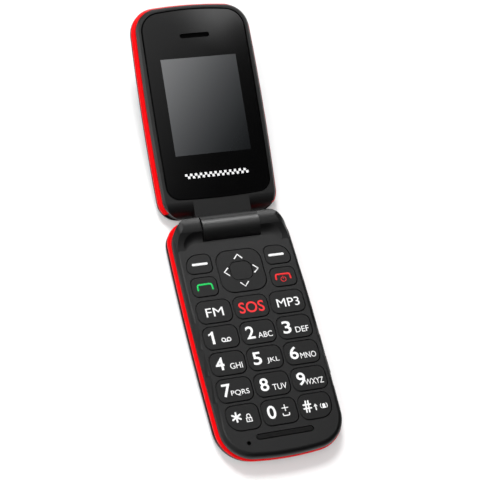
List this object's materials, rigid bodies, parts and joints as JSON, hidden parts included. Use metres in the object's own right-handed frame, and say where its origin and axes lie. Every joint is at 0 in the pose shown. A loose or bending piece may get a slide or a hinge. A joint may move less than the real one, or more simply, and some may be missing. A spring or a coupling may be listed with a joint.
{
  "type": "flip phone",
  "caption": "Clamshell keypad phone with a display lid on a barrel hinge, a red band round both halves, pressable keys and a lift-off battery cover.",
  "frame": {"origin": "middle of the flat back of the keypad half, between the microphone end and the hinge end", "axes": "+X to the right across the keypad, +Y from the microphone end towards the hinge and the open lid, +Z out of the keypad"},
  "size_m": [0.0518, 0.1873, 0.0349],
  "materials": {
    "key_plastic": "fine matt moulding",
    "front_plastic": "soft satin moulding",
    "back_plastic": "fine matt moulding",
    "band_red": "smooth satin red",
    "battery_wrap": "printed film",
    "contact_gold": "gold flash",
    "board_green": "solder mask",
    "tin_plate": "tin plate",
    "silicone": "matt silicone",
    "speaker_black": "moulded",
    "grille_black": "fine mesh",
    "screw_steel": "blackened",
    "pin_steel": "ground",
    "window_black": "polished, clear over the display",
    "display_grey": "switched off display",
    "magnet_nickel": "nickel plate",
    "lens_dark": "dark lens cover"
  },
  "bodies": {
    "base": {"front_housing": "front_plastic", "base_band": "band_red", "rear_housing": "back_plastic", "battery": "battery_wrap", "battery_contacts": "contact_gold", "main_board": "board_green", "shield_can": "tin_plate", "sim_holder": "tin_plate", "key_domes": "tin_plate", "keypad_mat": "silicone", "loudspeaker": "speaker_black", "sound_grille": "grille_black", "microphone": "tin_plate", "antenna": "contact_gold", "usb_port": "tin_plate", "base_screws": "screw_steel", "pivot_tube": "pin_steel", "drive_pin": "pin_steel"},
    "lid": {"lid_frame": "front_plastic", "window": "window_black", "ear_grille": "grille_black", "display_module": "display_grey", "lid_board": "board_green", "earpiece": "speaker_black", "lid_magnet": "magnet_nickel", "lid_band": "band_red", "lid_cover": "back_plastic", "lid_screws": "screw_steel", "camera_module": "speaker_black", "camera_window": "lens_dark", "vibration_motor": "tin_plate", "cam_unit": "pin_steel"},
    "battery_cover": {"battery_cover": "back_plastic"},
    "key_radio_cap": {"key_radio": "key_plastic"},
    "key_sos_cap": {"key_sos": "key_plastic"},
    "key_music_cap": {"key_music": "key_plastic"},
    "key_1_cap": {"key_1": "key_plastic"},
    "key_2_cap": {"key_2": "key_plastic"},
    "key_3_cap": {"key_3": "key_plastic"},
    "key_4_cap": {"key_4": "key_plastic"},
    "key_5_cap": {"key_5": "key_plastic"},
    "key_6_cap": {"key_6": "key_plastic"},
    "key_7_cap": {"key_7": "key_plastic"},
    "key_8_cap": {"key_8": "key_plastic"},
    "key_9_cap": {"key_9": "key_plastic"},
    "key_star_cap": {"key_star": "key_plastic"},
    "key_0_cap": {"key_0": "key_plastic"},
    "key_hash_cap": {"key_hash": "key_plastic"},
    "soft_left_cap": {"soft_left": "key_plastic"},
    "soft_right_cap": {"soft_right": "key_plastic"},
    "key_call_cap": {"key_call": "key_plastic"},
    "key_end_cap": {"key_end": "key_plastic"},
    "key_nav_cap": {"key_nav": "key_plastic"},
    "key_ok_cap": {"key_ok": "key_plastic"}
  },
  "joints": [
    {"name": "lid_hinge", "type": "hinge", "parent": "base", "child": "lid", "pos_m": [0, 0.04485, 0.0084], "axis": [1, 0, 0], "range_deg": [0, 161.6]},
    {"name": "battery_cover_lift", "type": "slide", "parent": "base", "child": "battery_cover", "axis": [0, 0, -1], "range_m": [0, 0.012]},
    {"name": "key_radio_press", "type": "slide", "parent": "base", "child": "key_radio_cap", "axis": [0, 0, -1], "range_m": [0, 0.00035], "stiffness_N_per_m": 800},
    {"name": "key_sos_press", "type": "slide", "parent": "base", "child": "key_sos_cap", "axis": [0, 0, -1], "range_m": [0, 0.00035], "stiffness_N_per_m": 800},
    {"name": "key_music_press", "type": "slide", "parent": "base", "child": "key_music_cap", "axis": [0, 0, -1], "range_m": [0, 0.00035], "stiffness_N_per_m": 800},
    {"name": "key_1_press", "type": "slide", "parent": "base", "child": "key_1_cap", "axis": [0, 0, -1], "range_m": [0, 0.00035], "stiffness_N_per_m": 800},
    {"name": "key_2_press", "type": "slide", "parent": "base", "child": "key_2_cap", "axis": [0, 0, -1], "range_m": [0, 0.00035], "stiffness_N_per_m": 800},
    {"name": "key_3_press", "type": "slide", "parent": "base", "child": "key_3_cap", "axis": [0, 0, -1], "range_m": [0, 0.00035], "stiffness_N_per_m": 800},
    {"name": "key_4_press", "type": "slide", "parent": "base", "child": "key_4_cap", "axis": [0, 0, -1], "range_m": [0, 0.00035], "stiffness_N_per_m": 800},
    {"name": "key_5_press", "type": "slide", "parent": "base", "child": "key_5_cap", "axis": [0, 0, -1], "range_m": [0, 0.00035], "stiffness_N_per_m": 800},
    {"name": "key_6_press", "type": "slide", "parent": "base", "child": "key_6_cap", "axis": [0, 0, -1], "range_m": [0, 0.00035], "stiffness_N_per_m": 800},
    {"name": "key_7_press", "type": "slide", "parent": "base", "child": "key_7_cap", "axis": [0, 0, -1], "range_m": [0, 0.00035], "stiffness_N_per_m": 800},
    {"name": "key_8_press", "type": "slide", "parent": "base", "child": "key_8_cap", "axis": [0, 0, -1], "range_m": [0, 0.00035], "stiffness_N_per_m": 800},
    {"name": "key_9_press", "type": "slide", "parent": "base", "child": "key_9_cap", "axis": [0, 0, -1], "range_m": [0, 0.00035], "stiffness_N_per_m": 800},
    {"name": "key_star_press", "type": "slide", "parent": "base", "child": "key_star_cap", "axis": [0, 0, -1], "range_m": [0, 0.00035], "stiffness_N_per_m": 800},
    {"name": "key_0_press", "type": "slide", "parent": "base", "child": "key_0_cap", "axis": [0, 0, -1], "range_m": [0, 0.00035], "stiffness_N_per_m": 800},
    {"name": "key_hash_press", "type": "slide", "parent": "base", "child": "key_hash_cap", "axis": [0, 0, -1], "range_m": [0, 0.00035], "stiffness_N_per_m": 800},
    {"name": "soft_left_press", "type": "slide", "parent": "base", "child": "soft_left_cap", "axis": [0, 0, -1], "range_m": [0, 0.00035], "stiffness_N_per_m": 800},
    {"name": "soft_right_press", "type": "slide", "parent": "base", "child": "soft_right_cap", "axis": [0, 0, -1], "range_m": [0, 0.00035], "stiffness_N_per_m": 800},
    {"name": "key_call_press", "type": "slide", "parent": "base", "child": "key_call_cap", "axis": [0, 0, -1], "range_m": [0, 0.00035], "stiffness_N_per_m": 800},
    {"name": "key_end_press", "type": "slide", "parent": "base", "child": "key_end_cap", "axis": [0, 0, -1], "range_m": [0, 0.00035], "stiffness_N_per_m": 800},
    {"name": "key_nav_press", "type": "slide", "parent": "base", "child": "key_nav_cap", "axis": [0, 0, -1], "range_m": [0, 0.00035], "stiffness_N_per_m": 800},
    {"name": "key_ok_press", "type": "slide", "parent": "base", "child": "key_ok_cap", "axis": [0, 0, -1], "range_m": [0, 0.00035], "stiffness_N_per_m": 800}
  ]
}
